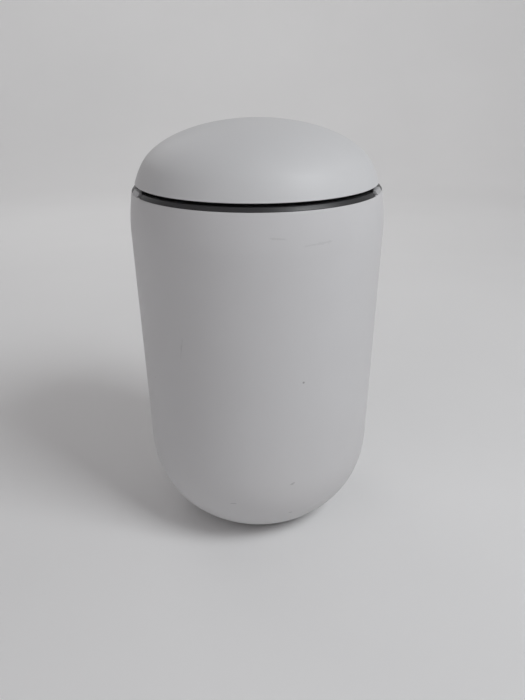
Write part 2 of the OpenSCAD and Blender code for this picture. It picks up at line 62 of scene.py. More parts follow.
# body outline
WALL_FOOT_R = 158.2 * MM
WALL_FOOT_Z = RIM_Z - 347.2 * MM
BOWL_DEPTH = 143.2 * MM
BOWL_POWER = 2.14
EDGE_ROUND = 46 * MM                 # height over which the wall turns in below the rim
EDGE_IN = 4.7 * MM
EDGE_POWER = 1.7
FOOT_TOP = 6 * MM                    # underside of the shell's bottom inside the foot
FOOT_R = 88.3 * MM                   # opening that holds the base plate
FLANGE_R = 78 * MM                   # opening above the base plate

# dome outline
DOME_R = 150.7 * MM
DOME_BASE = 4.2 * MM                 # height of its widest ring over the lid's edge
DOME_H = LID_HIGH.z - LID_Z - DOME_BASE
FLARE = 4.8 * MM
FLARE_H = 22.3 * MM

# rim
RING_TOP = RIM_Z + 4.8 * MM
RING_FLOOR = RIM_Z - 10 * MM
RING_DROP = RIM_Z - 22 * MM          # end of the skirt inside the shell
RING_EDGE_R = 159.4 * MM
RING_SLOPE_R = 156.2 * MM            # where the outer slope meets the flat top
RING_BORE = 142 * MM
LIP_TOP = RIM_Z - 5.7 * MM           # ledge that the bucket hangs on
LOCK_ANGLE = 70.6                    # from the front to the middle of a lock
LOCK_W = 30 * MM
LOCK_SLOT = 10 * MM                  # empty slot ahead of the lock
LOCK_FRONT = -LOCK_W / 2 - LOCK_SLOT
LOCK_PLAY = 0.3 * MM
LOCK_PIN_R = 152.5 * MM
POCKET_R = 148.5 * MM

# hinge
HINGE = Vector(next(j for j in frame["joints"] if j["name"] == "lid_hinge")["pos_m"])
HINGE_SEAT = RIM_Z - 2.5 * MM
BARREL_R = 4 * MM

# rear services
INLET_ANGLE = 202
SWITCH_ANGLE = 158
SERVICE_Z = 135 * MM
SERVICE_FACE = -159.8 * MM           # outer face of the inlet and the switch
SERVICE_HALF = 10.3 * MM
INLET_HALF = 15 * MM
SWITCH_HALF = 11 * MM
SERVICE_GAP = 0.2 * MM
VENT_HALF = 50 * MM                  # half width of the opening behind the filter cover
VENT_LOW = 150 * MM
VENT_HIGH = 220 * MM
VENT_MID = (VENT_LOW + VENT_HIGH) / 2
VENT_GAP = 0.3 * MM

# drive and bucket
COLUMNS = [(-28, 26), (-28, -26), (48, 30), (48, -30)]    # x and y in mm
BUCKET_RIM = LIP_TOP + 0.1 * MM


# ---- outlines ----
def body_radius(z, inset=0.0):
    """Outer radius of the body at height z, less an inset."""
    if z > RIM_Z - EDGE_ROUND:
        return BODY_R - inset - EDGE_IN * ((z - RIM_Z + EDGE_ROUND) / EDGE_ROUND) ** EDGE_POWER
    if z > WALL_FOOT_Z:
        rise = (z - WALL_FOOT_Z) / (RIM_Z - EDGE_ROUND - WALL_FOOT_Z)
        return WALL_FOOT_R - inset + (BODY_R - WALL_FOOT_R) * rise
    drop = (WALL_FOOT_Z - z) / (BOWL_DEPTH - inset)
    return (WALL_FOOT_R - inset) * (1 - drop ** BOWL_POWER) ** (1 / BOWL_POWER)


def dome_point(a, inset=0.0):
    """Point of the dome's outline at angle a from its widest ring, as (radius, height)."""
    z = DOME_BASE + (DOME_H - inset) * math.sin(a)
    out = FLARE * (1 - z / FLARE_H) ** 2 if z < FLARE_H else 0.0
    return ((DOME_R - inset) * math.cos(a) + out, LID_Z + z)


def rounded(outline, radii, steps=4):
    """The closed outline with each corner replaced by an arc of the radius given for it."""
    out = []
    count = len(outline)
    for i, (corner, radius) in enumerate(zip(outline, radii)):
        here = Vector(corner)
        back = Vector(outline[i - 1]) - here
        ahead = Vector(outline[(i + 1) % count]) - here
        if not radius:
            out.append(tuple(here))
            continue
        half = back.angle(ahead) / 2
        reach = radius / math.tan(half)
        start = here + back.normalized() * reach
        end = here + ahead.normalized() * reach
        inward = (back.normalized() + ahead.normalized()).normalized()
        middle = here + inward * radius / math.sin(half)
        for k in range(steps + 1):
            t = k / steps
            chord = start.lerp(end, t) - middle
            out.append(tuple(middle + chord.normalized() * radius))
    return out


def swung(outline, a):
    """The (radius, height) points of an outline, at angle a from the front."""
    return [(r * math.sin(a), -r * math.cos(a), z) for r, z in outline]


def arc_steps(count):
    """Angles of a quarter turn, from 0 to 90 degrees."""
    return [math.pi / 2 * k / count for k in range(count + 1)]


def in_mm(values):
    return [v * MM for v in values]


# ---- meshes ----
def sharpen(mesh, angle=32):
    """Smooth faces everywhere but across edges that turn more than the angle."""
    bm = bmesh.new()
    bm.from_mesh(mesh)
    bmesh.ops.remove_doubles(bm, verts=bm.verts, dist=1e-6)
    bmesh.ops.recalc_face_normals(bm, faces=bm.faces)
    for face in bm.faces:
        face.smooth = True
    for edge in bm.edges:
        edge.smooth = len(edge.link_faces) == 2 and edge.calc_face_angle(0) < math.radians(angle)
    bm.to_mesh(mesh)
    bm.free()


def piece(name, verts, faces):
    """A new object in the scene from bare vertices and faces."""
    mesh = bpy.data.meshes.new(name)
    mesh.from_pydata([tuple(v) for v in verts], [], faces)
    obj = bpy.data.objects.new(name, mesh)
    bpy.context.scene.collection.objects.link(obj)
    sharpen(mesh)
    return obj


def settle(obj):
    """Turns what the modifiers make of the object into its own mesh."""
    bpy.context.view_layer.update()
    shown = obj.evaluated_get(bpy.context.evaluated_depsgraph_get())
    mesh = bpy.data.meshes.new_from_object(shown)
    obj.modifiers.clear()
    obj.data = mesh
    sharpen(mesh)
    return obj


def bevel(obj, width, segments=3, angle=35):
    """Rounds the edges that turn more than the angle."""
    mod = obj.modifiers.new("bevel", "BEVEL")
    mod.width = width
    mod.segments = segments
    mod.limit_method = "ANGLE"
    mod.angle_limit = math.radians(angle)
    return settle(obj)


def carve(obj, cutters, join=False):
    """Cuts the other pieces out of obj, or joins them to it, and removes them."""
    for cutter in cutters:
        mod = obj.modifiers.new("carve", "BOOLEAN")
        mod.operation = "UNION" if join else "DIFFERENCE"
        mod.solver = "EXACT"
        mod.object = cutter
    settle(obj)
    for cutter in cutters:
        bpy.data.objects.remove(cutter)
    return obj


def lathe(name, outline, segments=240):
    """A closed outline of (radius, height) turned about Z."""
    rows = len(outline)
    verts, faces = [], []
    for j in range(segments):
        verts += swung(outline, 2 * math.pi * j / segments)
        near, far = j * rows, (j + 1) % segments * rows
        for i in range(rows):
            k = (i + 1) % rows
            faces.append((near + i, far + i, far + k, near + k))
    return piece(name, verts, faces)


def double_skin(name, outer, inner, angles, hole):
    """Two matching skins of (radius, height) rows, joined at their edges and round the holes.

    hole(angle, z) tells whether the middle of a cell lies in an opening."""
    rows, cols = len(outer), len(angles)
    verts = []
    for skin in (outer, inner):
        for a in angles:
            verts += swung(skin, a)
    full = abs(angles[-1] - angles[0]) > 1.9 * math.pi
    span = cols if full else cols - 1

    def at(skin, i, j):
        return skin * rows * cols + (j % cols) * rows + i

    def solid(i, j):
        if not 0 <= i < rows - 1 or not (full or 0 <= j < span):
            return False
        j %= cols
        wide = 2 * math.pi if j == cols - 1 else 0
        middle = (angles[j] + angles[(j + 1) % cols] + wide) / 2
        return not hole(middle, (outer[i][1] + outer[i + 1][1]) / 2)

    faces = []
    for j in range(span):
        for i in range(rows - 1):
            if not solid(i, j):
                continue
            faces.append((at(0, i, j), at(0, i, j + 1), at(0, i + 1, j + 1), at(0, i + 1, j)))
            faces.append((at(1, i, j), at(1, i + 1, j), at(1, i + 1, j + 1), at(1, i, j + 1)))
            for (di, dj, a, b) in ((-1, 0, (0, 0), (0, 1)), (1, 0, (1, 0), (1, 1)),
                                   (0, -1, (0, 0), (1, 0)), (0, 1, (0, 1), (1, 1))):
                if not solid(i + di, j + dj):
                    p, q = (i + a[0], j + a[1]), (i + b[0], j + b[1])
                    faces.append((at(0, *p), at(0, *q), at(1, *q), at(1, *p)))
    return piece(name, verts, faces)


def block(name, low, high, round_by=0.6 * MM, segments=3):
    """A box from corner to corner with rounded edges."""
    corners = [(x, y, z) for x in (low[0], high[0]) for y in (low[1], high[1])
               for z in (low[2], high[2])]
    faces = [(0, 1, 3, 2), (4, 6, 7, 5), (0, 4, 5, 1), (2, 3, 7, 6), (0, 2, 6, 4), (1, 5, 7, 3)]
    obj = piece(name, corners, faces)
    return bevel(obj, round_by, segments) if round_by else obj


def rod(name, radius, start, end, segments=32, round_by=0.0):
    """A round bar from start to end."""
    start, end = Vector(start), Vector(end)
    turn = (end - start).to_track_quat("Z", "Y").to_matrix()
    verts = []
    for base in (start, end):
        for j in range(segments):
            a = 2 * math.pi * j / segments
            verts.append(base + turn @ Vector((radius * math.cos(a), radius * math.sin(a), 0)))
    faces = [tuple(range(segments))[::-1], tuple(range(segments, 2 * segments))]
    faces += [(j, (j + 1) % segments, segments + (j + 1) % segments, segments + j)
              for j in range(segments)]
    obj = piece(name, verts, faces)
    return bevel(obj, round_by) if round_by else obj


def pipe(name, points, radius, sides=16):
    """A round wire along the points, with round ends."""
    curve = bpy.data.curves.new(name, "CURVE")
    curve.dimensions = "3D"
    curve.bevel_depth = radius
    curve.bevel_resolution = sides // 4
    curve.use_fill_caps = True
    line = curve.splines.new("POLY")
    line.points.add(len(points) - 1)
    for point, co in zip(line.points, points):
        point.co = (*co, 1)
    helper = bpy.data.objects.new(name + "_line", curve)
    bpy.context.scene.collection.objects.link(helper)
    bpy.context.view_layer.update()
    shown = helper.evaluated_get(bpy.context.evaluated_depsgraph_get())
    obj = bpy.data.objects.new(name, bpy.data.meshes.new_from_object(shown))
    bpy.context.scene.collection.objects.link(obj)
    bpy.data.objects.remove(helper)
    sharpen(obj.data, 60)
    return obj


def placed(obj, at, degrees=0, axis="Z"):
    """Turns a piece about its own origin, then moves that origin to a place."""
    turn = Matrix.Rotation(math.radians(degrees), 4, axis)
    obj.data.transform(Matrix.Translation(at) @ turn)
    return obj


def turned(obj, degrees):
    """Turns a piece that was drawn towards -Y to an angle from the front."""
    obj.data.transform(Matrix.Rotation(math.radians(degrees), 4, "Z"))
    return obj


def mirrored(obj):
    """The left-hand form of a right-hand piece."""
    obj.data.transform(Matrix.Scale(-1, 4, (1, 0, 0)))
    sharpen(obj.data)
    return obj


def together(name, parts):
    """Joins separate meshes into one object."""
    bm = bmesh.new()
    for part in parts:
        bm.from_mesh(part.data)
    mesh = bpy.data.meshes.new(name)
    bm.to_mesh(mesh)
    bm.free()
    for part in parts:
        bpy.data.objects.remove(part)
    obj = bpy.data.objects.new(name, mesh)
    bpy.context.scene.collection.objects.link(obj)
    return obj


# ---- materials ----
class Look:
    """A node material under construction, in object space and metres."""

    def __init__(self, name, metallic=0.0, specular=0.5, coat=0.0):
        self.mat = bpy.data.materials.new(name)
        self.mat.use_nodes = True
        self.nodes = self.mat.node_tree.nodes
        self.links = self.mat.node_tree.links
        self.shader = self.nodes["Principled BSDF"]
        self.shader.inputs["Metallic"].default_value = metallic
        self.shader.inputs["Specular IOR Level"].default_value = specular
        self.shader.inputs["Coat Weight"].default_value = coat
        self.place = self.nodes.new("ShaderNodeTexCoord").outputs["Object"]
        self.normal = None

    def node(self, kind, inputs=None, **settings):
        node = self.nodes.new(kind)
        for key, value in settings.items():
            setattr(node, key, value)
        for key, value in (inputs or {}).items():
            if isinstance(value, bpy.types.NodeSocket):
                self.links.new(value, node.inputs[key])
            else:
                node.inputs[key].default_value = value
        return node

    def stretched(self, scale):
        return self.node("ShaderNodeMapping", {"Vector": self.place, "Scale": scale}).outputs[0]

    def noise(self, scale, detail=3.0, roughness=0.5, place=None):
        return self.node("ShaderNodeTexNoise", {
            "Vector": place or self.place, "Scale": scale, "Detail": detail,
            "Roughness": roughness}).outputs["Fac"]

    def ramp(self, value, low, high, to_low=0.0, to_high=1.0):
        return self.node("ShaderNodeMapRange", {
            "Value": value, "From Min": low, "From Max": high,
            "To Min": to_low, "To Max": to_high}).outputs["Result"]

    def math(self, operation, a, b=0.0):
        return self.node("ShaderNodeMath", {0: a, 1: b}, operation=operation).outputs[0]

    def times(self, a, b):
        return self.math("MULTIPLY", a, b)

    def mix(self, factor, a, b):
        node = self.node("ShaderNodeMix", {"Factor": factor}, data_type="RGBA")
        for socket, value in ((node.inputs[6], a), (node.inputs[7], b)):
            if isinstance(value, bpy.types.NodeSocket):
                self.links.new(value, socket)
            else:
                socket.default_value = (*value, 1)
        return node.outputs[2]

    def bump(self, height, distance, strength=1.0):
        inputs = {"Height": height, "Distance": distance, "Strength": strength}
        if self.normal:
            inputs["Normal"] = self.normal
        self.normal = self.node("ShaderNodeBump", inputs).outputs[0]

    def finish(self, color, roughness):
        for socket, value in (("Base Color", color), ("Roughness", roughness)):
            self.links.new(value, self.shader.inputs[socket])
        if self.normal:
            self.links.new(self.normal, self.shader.inputs["Normal"])
        return self.mat


def shade(color, by):
    """The colour made darker or lighter."""
    return tuple(min(1.0, c * by) for c in color)


def moulded(name, color, rough, grain=0.00004, grain_scale=1400, specular=0.5, drift=0.03):
    """Moulded plastic: fine grain, slight drift of tone and gloss, faint rubbed patches."""
    look = Look(name, specular=specular)
    cloud = look.ramp(look.noise(9, 3), 0.35, 0.65)
    tone = look.mix(cloud, shade(color, 1 - drift), shade(color, 1 + drift))
    rubbed = look.ramp(look.noise(38, 6, 0.65), 0.60, 0.74)
    tone = look.mix(look.times(rubbed, 0.35), tone, shade(color, 0.9))
    gloss = look.ramp(look.noise(24, 4), 0.3, 0.7, rough - 0.05, rough + 0.05)
    look.bump(look.noise(grain_scale, 2), grain)
    look.bump(look.noise(170, 2), grain * 1.5, 0.6)
    return look.finish(tone, gloss)


def scuff(look, centre, along, half, wide, depth):
    """How strongly a scuff shows: a ragged line along a way, fading at its ends."""
    offset = look.node("ShaderNodeVectorMath", {0: look.place, 1: centre},
                       operation="SUBTRACT").outputs[0]
    way = Vector(along).normalized()
    run = look.node("ShaderNodeVectorMath", {0: offset, 1: way},
                    operation="DOT_PRODUCT").outputs["Value"]
    size = look.node("ShaderNodeVectorMath", {0: offset}, operation="LENGTH").outputs["Value"]
    across = look.math("SQRT", look.math("MAXIMUM", look.math(
        "SUBTRACT", look.times(size, size), look.times(run, run)), 0.0))
    wobble = look.ramp(look.noise(160, 3), 0.3, 0.7, 0.4, 1.6)
    edge = look.times(across, wobble)
    body = look.times(look.ramp(edge, wide * 0.4, wide, 1, 0),
                      look.ramp(look.math("ABSOLUTE", run), half * 0.6, half, 1, 0))
    return look.times(body, depth)


def scuffed_white(name, color, rough, marks=()):
    """Satin white plastic with fine grain, hand-worn patches and a few scuffs."""
    look = Look(name, specular=0.42)
    cloud = look.ramp(look.noise(5, 4, 0.55), 0.32, 0.68)
    tone = look.mix(cloud, shade(color, 0.975), shade(color, 1.012))
    warm = look.ramp(look.noise(3.1, 2), 0.45, 0.7)
    tone = look.mix(look.times(warm, 0.5), tone,
                    (color[0] * 0.985, color[1] * 0.97, color[2] * 0.955))
    hairline = look.noise(1.0, 8, 0.6, look.stretched((240, 240, 26)))
    hairs = look.times(look.ramp(hairline, 0.66, 0.74), 0.10)
    tone = look.mix(hairs, tone, shade(color, 0.72))
    speck = look.node("ShaderNodeTexVoronoi", {
        "Vector": look.place, "Scale": 34.0, "Randomness": 1.0}).outputs["Distance"]
    sparse = look.ramp(look.noise(11, 2), 0.62, 0.66)
    specks = look.times(look.ramp(speck, 0.016, 0.030, 1, 0), sparse)
    tone = look.mix(look.times(specks, 0.55), tone, (0.24, 0.20, 0.17))
    for mark in marks:
        tone = look.mix(scuff(look, *mark), tone, shade(color, 0.42))
    gloss = look.ramp(look.noise(14, 4), 0.3, 0.7, rough - 0.06, rough + 0.06)
    look.bump(look.noise(1500, 2), 0.00003)
    look.bump(look.noise(120, 2), 0.00004, 0.5)
    return look.finish(tone, gloss)


def metal(name, color, rough, brush=(1, 1, 40), scale=60, metallic=1.0):
    """Ground or plated metal with fine lines along one way and dull patches."""
    look = Look(name, metallic=metallic)
    lines = look.noise(scale, 6, 0.7, look.stretched(brush))
    cloud = look.ramp(look.noise(22, 4), 0.35, 0.7)
    tone = look.mix(cloud, shade(color, 0.88), shade(color, 1.05))
    gloss = look.ramp(lines, 0.3, 0.7, rough - 0.07, rough + 0.09)
    look.bump(lines, 0.00002)
    look.bump(look.noise(700, 2), 0.00001)
    return look.finish(tone, gloss)


def powder_coat(name, color):
    """Grey paint with an orange-peel surface."""
    look = Look(name, specular=0.4)
    cloud = look.ramp(look.noise(16, 3), 0.3, 0.7)
    tone = look.mix(cloud, shade(color, 0.93), shade(color, 1.05))
    look.bump(look.noise(620, 2), 0.00010)
    return look.finish(tone, look.ramp(look.noise(300, 2), 0.3, 0.7, 0.48, 0.62))


def felt(name, color):
    """Matted fibres with a rough nap."""
    look = Look(name, specular=0.2)
    tone = look.mix(look.ramp(look.noise(500, 5, 0.7), 0.3, 0.7),
                    shade(color, 0.5), shade(color, 1.6))
    look.bump(look.noise(420, 6, 0.7), 0.0006)
    return look.finish(tone, look.ramp(look.noise(200, 2), 0.3, 0.7, 0.85, 1.0))


def circuit_board(name, color):
    """Solder mask over a grid of tracks."""
    look = Look(name, specular=0.5)
    traces = look.node("ShaderNodeTexBrick", {
        "Vector": look.place, "Scale": 160.0, "Color1": (*color, 1),
        "Color2": (*shade(color, 1.3), 1), "Mortar": (*shade(color, 2.1), 1)}).outputs["Color"]
    tone = look.mix(look.ramp(look.noise(90, 3), 0.4, 0.7), traces, color)
    look.bump(look.noise(300, 2), 0.00005)
    return look.finish(tone, look.ramp(look.noise(80, 2), 0.3, 0.7, 0.28, 0.42))


def mark_at(angle, z, along, half, wide, depth):
    """A scuff on the body's wall, at an angle from the front and a height.

    along is its way (around, up), then come its half length, half width and depth of tone."""
    a = math.radians(angle)
    r = body_radius(z)
    flat = Vector((math.cos(a), math.sin(a), 0))
    way = flat * along[0] + Vector((0, 0, 1)) * along[1]
    return ((r * math.sin(a), -r * math.cos(a), z), tuple(way), half, wide, depth)


BODY_MARKS = [
    mark_at(24, 0.433, (1, 0.05), 0.024, 0.0016, 0.13),
    mark_at(7, 0.442, (1, -0.1), 0.011, 0.0012, 0.16),
    mark_at(19, 0.262, (0.4, 1), 0.0015, 0.0011, 0.75),
    mark_at(15, 0.115, (1, 0.5), 0.004, 0.0013, 0.40),
    mark_at(-14, 0.082, (1, 0.2), 0.005, 0.0012, 0.45),
    mark_at(16, 0.058, (1, 0), 0.003, 0.0012, 0.5),
    mark_at(-36, 0.30, (0.2, 1), 0.016, 0.0010, 0.16),
]

LOOKS = {
    "white_body": scuffed_white("satin_white_body", (0.655, 0.652, 0.662), 0.50, BODY_MARKS),
    "white_lid": scuffed_white("satin_white_lid", (0.655, 0.659, 0.668), 0.50),
    "dark_rim": moulded("rim_black", (0.030, 0.030, 0.032), 0.40, 0.00005, 1100),
    "grey_lock": moulded("lock_grey", (0.47, 0.47, 0.48), 0.38),
    "painted_steel": powder_coat("grey_powder_coat", (0.17, 0.175, 0.185)),
    "black_steel": metal("blackened_steel", (0.05, 0.05, 0.052), 0.42, metallic=0.6),
    "steel": metal("bright_steel", (0.60, 0.60, 0.61), 0.30),
    "brass": metal("machined_brass", (0.72, 0.52, 0.22), 0.28),
    "gear_plastic": moulded("acetal", (0.78, 0.74, 0.62), 0.36),
    "rubber": moulded("matt_rubber", (0.022, 0.022, 0.022), 0.72, 0.00008, 900, specular=0.3),
    "black_plastic": moulded("grained_black", (0.025, 0.025, 0.027), 0.46, 0.00010, 800),
    "filter_carbon": felt("carbon_felt", (0.03, 0.03, 0.03)),
    "board_green": circuit_board("solder_mask", (0.02, 0.16, 0.07)),
    "bucket_grey": moulded("bucket_grey", (0.42, 0.43, 0.44), 0.44, 0.00007, 900),
    "cast_aluminium": metal("blasted_casting", (0.66, 0.66, 0.67), 0.46, (1, 1, 1), 320),
}
SLOT_OF = {part["node"]: part["material_slot"] for part in frame["record"]["subparts"]}


def dress(obj, slot):
    """Gives a piece the material of its slot and no other."""
    obj.data.materials.clear()
    obj.data.materials.append(LOOKS[slot])


def stand_in(obj, body, *nodes):
    """Finishes a piece that stands for CAD nodes: material, slot and the body it rides on."""
    slot = SLOT_OF[nodes[0]]
    dress(obj, slot)
    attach(obj, body)
    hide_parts(*nodes)
    return obj


for node_name, node_obj in frame["nodes"].items():
    dress(node_obj, SLOT_OF[node_name])


# ---- body shell ----
def with_stops(values, stops, near):
    """The values, with each stop put in and its close neighbours taken out."""
    kept = [v for v in values if all(abs(v - s) > near for s in stops)]
    return sorted(kept + list(stops))


def half_angle(half_width, z):
    """Angle that a half width takes up on the wall at height z."""
    return math.asin(half_width / body_radius(z))


def shell_openings():
    """Openings in the wall, as (middle angle, half angle, low z, high z)."""
    half = SERVICE_HALF + SERVICE_GAP
    service = (SERVICE_Z - half, SERVICE_Z + half)
    return [
        (math.pi, half_angle(VENT_HALF, VENT_MID), VENT_LOW, VENT_HIGH),
        (math.radians(INLET_ANGLE), half_angle(INLET_HALF + SERVICE_GAP, SERVICE_Z), *service),
        (math.radians(SWITCH_ANGLE), half_angle(SWITCH_HALF + SERVICE_GAP, SERVICE_Z), *service),
    ]


def body_shell():
    """The moulded wall and bowl with its openings, and the flange that the base screws into."""
    openings = shell_openings()
    stops = sorted(m + side * h for m, h, _, _ in openings for side in (-1, 1))
    angles = with_stops([math.radians(1.5 * j) for j in range(240)], stops, 0.008)
    z_stops = sorted({z for o in openings for z in o[2:]})
    straight = [WALL_FOOT_Z + (RIM_Z - EDGE_ROUND - WALL_FOOT_Z) * i / 44 for i in range(45)]
    bowl = [WALL_FOOT_Z - (WALL_FOOT_Z - FOOT_Z) * math.sin(math.pi / 2 * i / 30)
            for i in range(30, 0, -1)]
    edge = [RIM_Z - EDGE_ROUND * (1 - i / 24) for i in range(1, 24)]
    heights = bowl + with_stops(straight, z_stops, 2 * MM) + edge
    inside = FOOT_TOP + WALL
    outer = [(FOOT_R, FOOT_Z)] + [(body_radius(z), z) for z in heights]
    inner = [(FOOT_R, FOOT_TOP)]
    inner += [(body_radius(max(z, inside), WALL), max(z, inside)) for z in heights]
    soft = 0.9 * MM
    top_r = body_radius(RIM_Z)
    for a in arc_steps(4):
        outer.append((top_r - soft + soft * math.cos(a), RIM_Z - soft + soft * math.sin(a)))
        inner.append((top_r - WALL, RIM_Z - soft + soft * math.sin(a)))

    def hole(angle, z):
        return any(abs(angle - m) < h and low < z < high for m, h, low, high in openings)

    shell = double_skin("body_shell", outer, inner, angles, hole)
    flange = lathe("body_foot_flange", rounded(
        [(FLANGE_R, FOOT_TOP), (FOOT_R, FOOT_TOP), (98 * MM, inside - 0.2 * MM),
         (FLANGE_R, inside)], in_mm((0.4, 0, 0, 0.4))), 120)
    return together("body_shell", [shell, flange])


def filter_cover_panel():
    """The rear cover: a panel in line with the wall, with a row of louvre slots."""
    half = half_angle(VENT_HALF - VENT_GAP, VENT_MID)
    slot_half = half_angle(36 * MM, VENT_MID)
    low, high = VENT_LOW + VENT_GAP, VENT_HIGH - VENT_GAP
    slots = [((164 + 8 * i) * MM, (167 + 8 * i) * MM) for i in range(6)]
    angles = with_stops([math.pi + half * (i / 24 - 1) for i in range(49)],
                        [math.pi - slot_half, math.pi + slot_half], 0.004)
    stops = [z for pair in slots for z in pair]
    heights = with_stops([low + (high - low) * i / 30 for i in range(31)], stops, MM)
    outer = [(body_radius(z), z) for z in heights]
    inner = [(body_radius(z, WALL), z) for z in heights]

    def hole(angle, z):
        return abs(angle - math.pi) < slot_half and any(a < z < b for a, b in slots)

    return bevel(double_skin("rear_filter_cover", outer, inner, angles, hole), 0.5 * MM)


# ---- lid ----
def lid_dome():
    """The dome with its flared skirt, inner skin and rounded edge."""
    steps = 72
    start = math.asin(-DOME_BASE / DOME_H)
    inner_h = DOME_H - WALL
    inner_start = math.asin(-DOME_BASE / inner_h)
    outer = [dome_point(start + (math.pi / 2 - start) * i / steps) for i in range(steps)]
    inner = [dome_point(inner_start + (math.pi / 2 - inner_start) * i / steps, WALL)
             for i in range(steps)]
    soft = 0.8 * MM
    outer_r, inner_r = outer[0][0], inner[0][0]
    lip = [(inner_r + soft - soft * math.cos(a), LID_Z + soft - soft * math.sin(a))
           for a in arc_steps(4)]
    lip += [(outer_r - soft + soft * math.sin(a), LID_Z + soft - soft * math.cos(a))
            for a in arc_steps(4)]
    outline = ([(HAIR, LID_HIGH.z - WALL)] + inner[:0:-1] + lip + outer[1:]
               + [(HAIR, LID_HIGH.z)])
    return lathe("lid_dome", outline)


# ---- rim ----
def ring_outline():
    """The ring's section: sloped top, ledge for the bucket, skirt inside the shell."""
    ledge_r, skirt_r, skirt_in = 138.6 * MM, 156.3 * MM, 153.4 * MM
    corners = [
        (RING_EDGE_R, RIM_Z), (RING_EDGE_R, RIM_Z + 0.6 * MM), (RING_SLOPE_R, RING_TOP),
        (RING_BORE, RING_TOP), (RING_BORE, LIP_TOP), (ledge_r, LIP_TOP), (ledge_r, RING_FLOOR),
        (skirt_in, RING_FLOOR), (skirt_in, RING_DROP), (skirt_r, RING_DROP), (skirt_r, RIM_Z)]
    return rounded(corners, in_mm((0.2, 0.25, 0.8, 0.6, 0.3, 0.3, 0.3, 0.3, 0.3, 0.3, 0.05)))


def at_lock(side, spans, round_by=0.0):
    """Blocks drawn at the front, as (x, y, z) spans, put at the lock on one side."""
    return [turned(block("bar", *zip(sorted(side * v for v in x), y, z), round_by, 2),
                   side * LOCK_ANGLE) for x, y, z in spans]


def lock_cutters(side):
    """The slider's pocket, the keeper's slot and the drive pin's slot, on one side."""
    half = LOCK_W / 2
    front = LOCK_FRONT - LOCK_PLAY
    apart, sunk = 0.02 * MM, 0.05 * MM    # keep the cutters' faces out of one plane
    return at_lock(side, [
        ((front, half + LOCK_PLAY), (-170 * MM, -POCKET_R), (RIM_Z - sunk, RIM_Z + 10 * MM)),
        ((front + apart, -half), (-155.5 * MM, -POCKET_R - apart), (RIM_Z - 3 * MM, RIM_Z + MM)),
        ((-10.5 * MM, 3.5 * MM), (-155 * MM, -150 * MM), (RING_FLOOR - MM, RIM_Z + MM)),
    ])


def dark_ring():
    """The ring with its hinge seat and the spaces for both locks."""
    ring = lathe("dark_rim_ring", ring_outline())
    seat = block("cut_hinge", (-32 * MM, 147 * MM, HINGE_SEAT),
                 (32 * MM, 170 * MM, RIM_Z + 10 * MM), 0)
    return carve(ring, [seat] + lock_cutters(1) + lock_cutters(-1))


def lock_block(name):
    """The sliding lock: a block that follows the ring's outline, and its drive pin."""
    half = LOCK_W / 2
    base = RIM_Z + LOCK_PLAY
    inner_r, outer_r = 149.4 * MM, RING_EDGE_R - 0.2 * MM
    corners = [(inner_r, base), (outer_r, base), (outer_r, RIM_Z + 0.7 * MM),
               (RING_SLOPE_R, RING_TOP), (inner_r, RING_TOP)]
    columns = 24
    verts, faces = [], []
    for j in range(columns + 1):
        x = -half + LOCK_W * j / columns
        verts += [(x, -math.sqrt(r * r - x * x), z) for r, z in corners]
    rows = len(corners)
    for j in range(columns):
        for i in range(rows):
            k = (i + 1) % rows
            faces.append((j * rows + i, (j + 1) * rows + i, (j + 1) * rows + k, j * rows + k))
    faces += [tuple(range(rows))[::-1], tuple(range(columns * rows, (columns + 1) * rows))]
    slider = bevel(piece("slider", verts, faces), 0.45 * MM, 3, 30)
    pin = rod("pin", 2 * MM, (0, -LOCK_PIN_R, RING_FLOOR + 0.4 * MM),
              (0, -LOCK_PIN_R, base + 0.5 * MM), 24, 0.3 * MM)
    return turned(together(name, [slider, pin]), LOCK_ANGLE)


stand_in(body_shell(), "housing", "outer_shell")
stand_in(filter_cover_panel(), "housing", "filter_cover")
stand_in(lid_dome(), "lid", "lid_shell")
stand_in(dark_ring(), "housing", "rim_ring")
stand_in(lock_block("lid_lock_right"), "lock_right", "lock_slider_right")
stand_in(mirrored(lock_block("lid_lock_left")), "lock_left", "lock_slider_left")


# ---- screws ----
def screw(head_r, shank_r, head_h, shank_h):
    """A pan-head screw under its seat at z = 0: head down, shank up, with a cross recess."""
    pole = 0.02 * MM
    body = lathe("screw", rounded(
        [(pole, -head_h), (head_r, -head_h), (head_r, 0), (shank_r, 0), (shank_r, shank_h),
         (pole, shank_h)], [0, 0.45 * head_h, 0.1 * MM, 0, 0.3 * MM, 0]), 40)
    long, thin = 0.62 * head_r, 0.17 * head_r
    slots = [block("slot", (-a, -b, -head_h - MM), (a, b, -0.45 * head_h), 0)
             for a, b in ((long, thin), (thin, long))]
    return carve(body, slots)


def screws_on(name, ring, angles, z, sizes):
    """Screws with their seats at height z on a circle; angles are from the front."""
    return together(name, [turned(placed(screw(*sizes), (0, -ring, z)), a) for a in angles])


# ---- base ----
def feet():
    """Four round feet, each hollowed a little underneath."""
    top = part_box("rubber_feet")[1].z
    foot_r, hollow_r, hollow = 10 * MM, 5 * MM, 0.6 * MM
    outline = rounded([(HAIR, hollow), (hollow_r, hollow), (hollow_r, 0), (foot_r, 0),
                       (foot_r, top), (HAIR, top)], in_mm((0, 0.2, 0.4, 0.7, 0.2, 0)))
    return together("rubber_foot_set", [
        turned(placed(lathe("foot", outline, 64), (0, -62 * MM, 0)), 45 + 90 * i)
        for i in range(4)])


def grooves(radii, face, half, slope, depth):
    """Rings pressed into a flat face, as corners of an outline that runs outwards."""
    return [(r + d, face + h) for r in radii for d, h in
            ((-half, 0), (-half + slope, depth), (half - slope, depth), (half, 0))]


